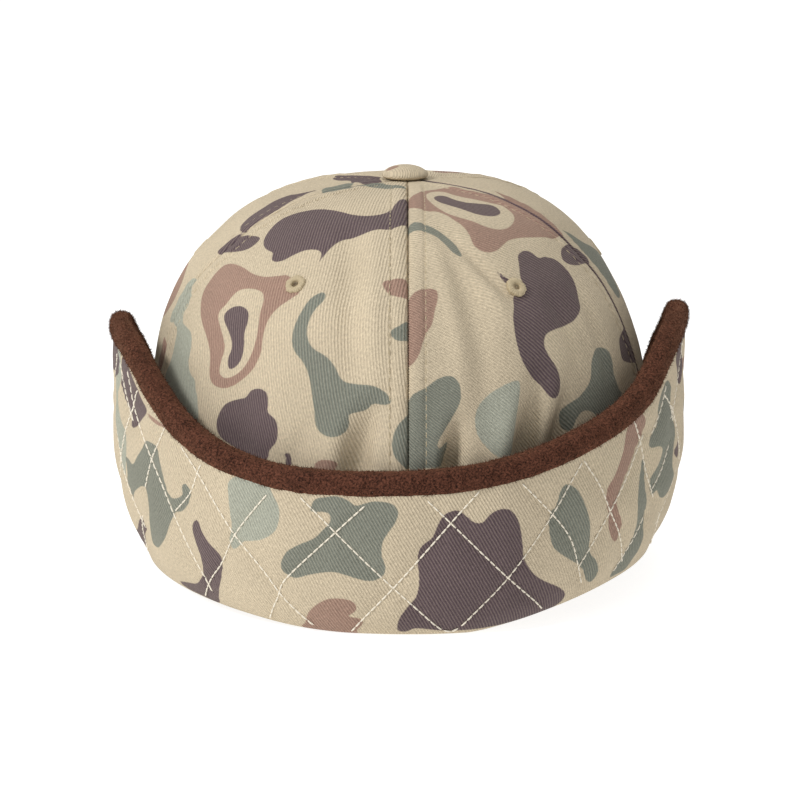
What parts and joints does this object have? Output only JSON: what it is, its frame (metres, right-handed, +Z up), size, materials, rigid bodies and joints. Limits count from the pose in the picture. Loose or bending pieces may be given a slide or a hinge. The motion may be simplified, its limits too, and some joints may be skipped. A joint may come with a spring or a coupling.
{
  "type": "earflap cap",
  "caption": "Cloth cap of sewn panels with a covered button, sewn eyelets and a peak, and a quilted, fleece-faced earflap turned up round the back and ears",
  "frame": {"origin": "middle of the footprint, on the ground that the cap stands on", "axes": "+Y forwards along the peak, +Z up, +X to the wearer's right; the back of the cap faces -Y"},
  "size_m": [0.2018, 0.2818, 0.1413],
  "materials": {
    "twill": "camouflage-printed cotton twill, matte",
    "fleece": "brushed polyester fleece, matte",
    "thread": "cotton embroidery thread, satin"
  },
  "bodies": {
    "root": {"panel_back_left": "twill", "panel_back_right": "twill", "panel_side_left": "twill", "panel_side_right": "twill", "panel_front_left": "twill", "panel_front_right": "twill", "eyelet_back_left": "thread", "eyelet_back_right": "thread", "eyelet_side_left": "thread", "eyelet_side_right": "thread", "eyelet_front_left": "thread", "eyelet_front_right": "thread", "top_button": "twill", "earflap_quilt": "twill", "earflap_fleece": "fleece", "peak": "twill"}
  },
  "joints": []
}
